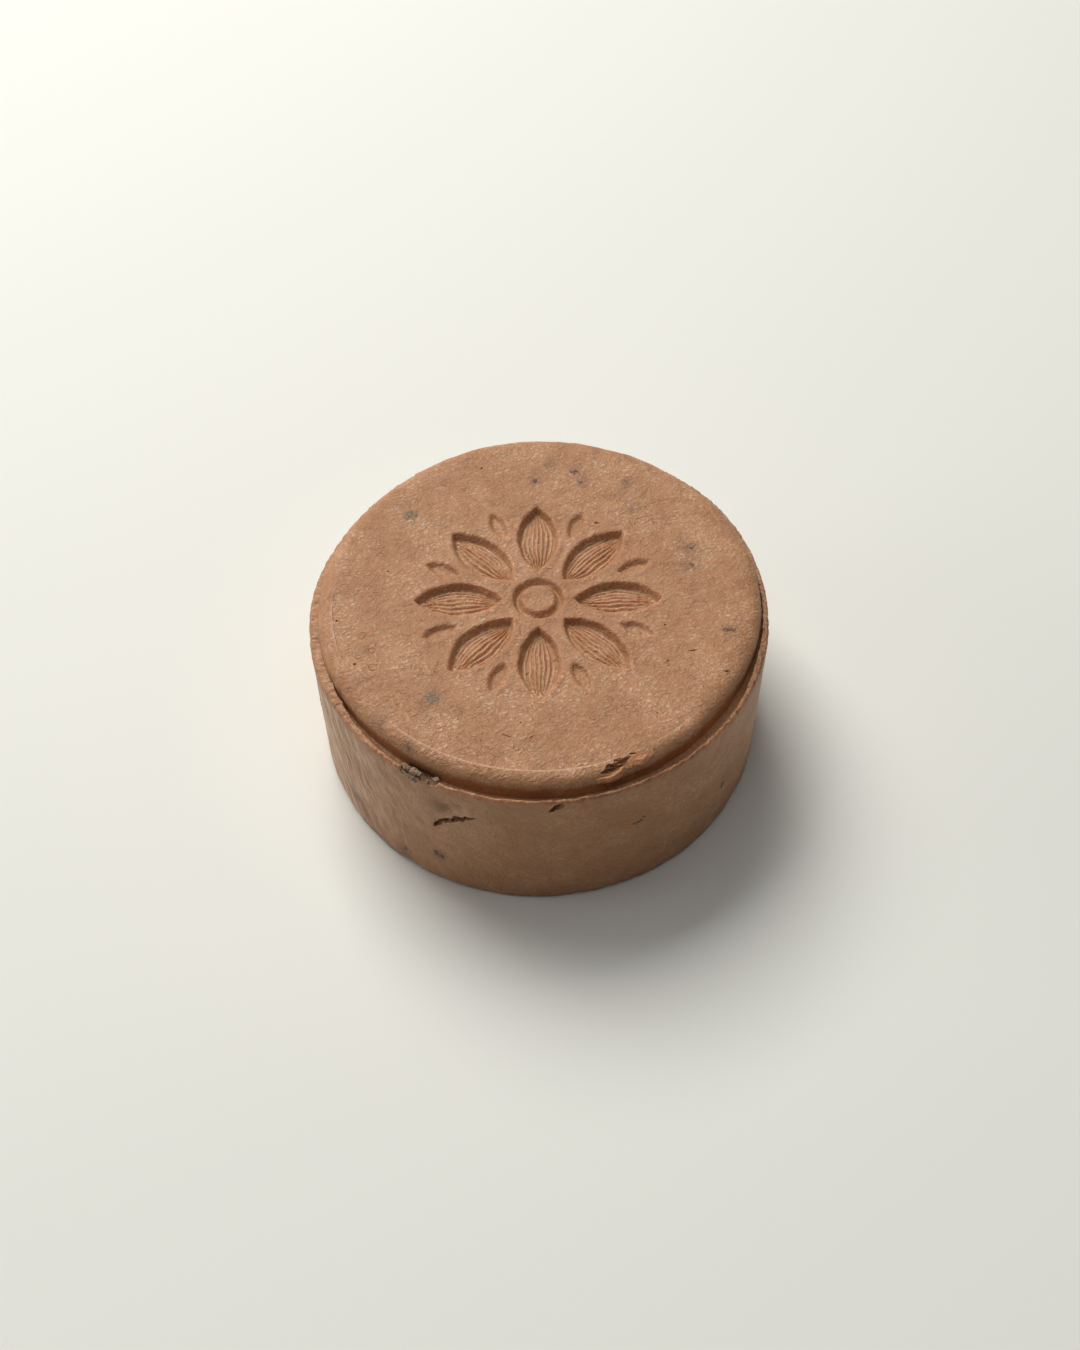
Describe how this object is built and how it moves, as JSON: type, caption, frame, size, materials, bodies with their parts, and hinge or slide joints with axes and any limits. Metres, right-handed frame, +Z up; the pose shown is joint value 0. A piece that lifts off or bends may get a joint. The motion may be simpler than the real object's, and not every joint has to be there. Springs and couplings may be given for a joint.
{
  "type": "shaving soap puck",
  "caption": "Round pressed shaving soap puck with a straight wall, a thin broken rim of flash, a rounded shoulder and a flat face with a pressed rosette.",
  "frame": {"origin": "centre of the flat base, on the surface that the puck lies on", "axes": "+Z up through the face, along the puck's own axis; -Y towards the front, where the flash has broken away to the left"},
  "size_m": [0.07, 0.07, 0.0293],
  "materials": {
    "soap": "satin, waxy, handled soap",
    "soap_flash": "matt, dry, torn soap",
    "soap_crumb": "matt, dry, torn soap",
    "clay": "matt, dry clay",
    "herb": "matt, dry plant matter"
  },
  "bodies": {
    "root": {"soap_block": "soap", "rim_flash": "soap_flash", "rim_crumbs": "soap_crumb", "shoulder_flake": "soap", "clay_flecks": "clay", "herb_flecks": "herb"}
  },
  "joints": []
}
